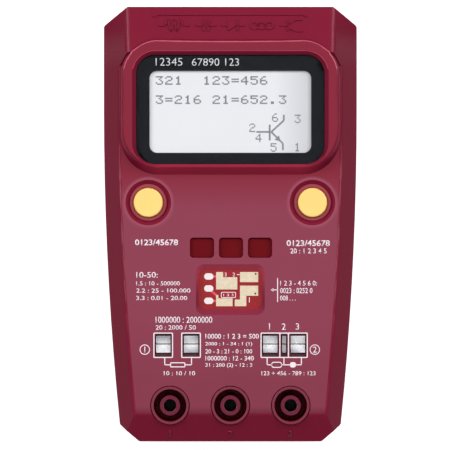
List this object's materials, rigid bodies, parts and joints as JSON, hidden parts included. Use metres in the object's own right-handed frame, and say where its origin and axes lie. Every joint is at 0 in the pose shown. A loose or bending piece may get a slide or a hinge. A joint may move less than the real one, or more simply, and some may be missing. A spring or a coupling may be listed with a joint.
{
  "type": "component tester",
  "caption": "Handheld electronic component tester with a display window, round buttons, sprung test ports, a recessed pad field for surface-mount parts and shrouded jacks.",
  "frame": {"origin": "middle of the flat back, on the surface the tester lies on", "axes": "+Z out of the front face, +Y towards the display end, +X to the right seen from the front"},
  "size_m": [0.08, 0.1374, 0.0335],
  "materials": {
    "shell_plastic": "fine spark-eroded texture, slight sheen",
    "jack_plastic": "smooth moulded",
    "button_yellow": "satin",
    "window_clear": "polished clear acrylic",
    "window_ink": "screen-printed black behind the window",
    "foam": "foam and tape",
    "screw_steel": "zinc-plated",
    "battery_jacket": "plain dark printed steel can",
    "contact_metal": "tinned, drawn",
    "jack_metal": "nickel-plated brass",
    "black_plastic": "moulded, filled",
    "port_plastic": "moulded, dark",
    "board_green": "solder-masked glass-fibre laminate",
    "board_red": "red solder mask",
    "pad_metal": "gold-flashed copper",
    "lcd_bezel_metal": "blackened folded sheet",
    "lcd_cell": "reflective polariser, pale grey",
    "diffuser_plastic": "white moulded",
    "can_metal": "drawn can",
    "resistor_coat": "lacquered",
    "label_film": "plain polyester film"
  },
  "bodies": {
    "case": {"front_shell": "shell_plastic", "rear_shell": "shell_plastic", "case_screws": "screw_steel", "board_screws": "screw_steel", "battery": "battery_jacket", "battery_terminals": "contact_metal", "snap_plate": "black_plastic", "battery_contacts": "contact_metal", "battery_pad": "foam", "window_tape": "foam", "window_border": "window_ink", "display_window": "window_clear", "lcd_board": "board_green", "lcd_frame": "lcd_bezel_metal", "lcd_backlight": "diffuser_plastic", "lcd_glass": "lcd_cell", "lcd_standoffs": "diffuser_plastic", "lcd_header": "black_plastic", "main_board": "board_green", "microcontroller": "black_plastic", "microcontroller_leads": "contact_metal", "crystal": "contact_metal", "voltage_regulator": "black_plastic", "filter_capacitors": "can_metal", "chip_resistors": "black_plastic", "discharge_resistor": "resistor_coat", "test_board": "board_red", "test_pads": "pad_metal", "test_board_pins": "contact_metal", "left_switch": "black_plastic", "right_switch": "black_plastic", "port_1_block": "port_plastic", "port_2_block": "port_plastic", "port_1_contacts": "contact_metal", "port_2_contacts": "contact_metal", "jack_board": "board_green", "board_link": "black_plastic", "rear_label": "label_film", "jack_1_body": "jack_plastic", "jack_1_contact": "jack_metal", "jack_2_body": "jack_plastic", "jack_2_contact": "jack_metal", "jack_3_body": "jack_plastic", "jack_3_contact": "jack_metal"},
    "left_button": {"left_button": "button_yellow", "left_switch_stem": "black_plastic"},
    "right_button": {"right_button": "button_yellow", "right_switch_stem": "black_plastic"},
    "battery_door": {"battery_door": "shell_plastic", "door_screws": "screw_steel"}
  },
  "joints": [
    {"name": "left_button_press", "type": "slide", "parent": "case", "child": "left_button", "axis": [0, 0, -1], "range_m": [0, 0.0005], "stiffness_N_per_m": 2000},
    {"name": "right_button_press", "type": "slide", "parent": "case", "child": "right_button", "axis": [0, 0, -1], "range_m": [0, 0.0005], "stiffness_N_per_m": 2000},
    {"name": "battery_door_lift", "type": "slide", "parent": "case", "child": "battery_door", "axis": [0, 0, -1], "range_m": [0, 0.025]}
  ]
}
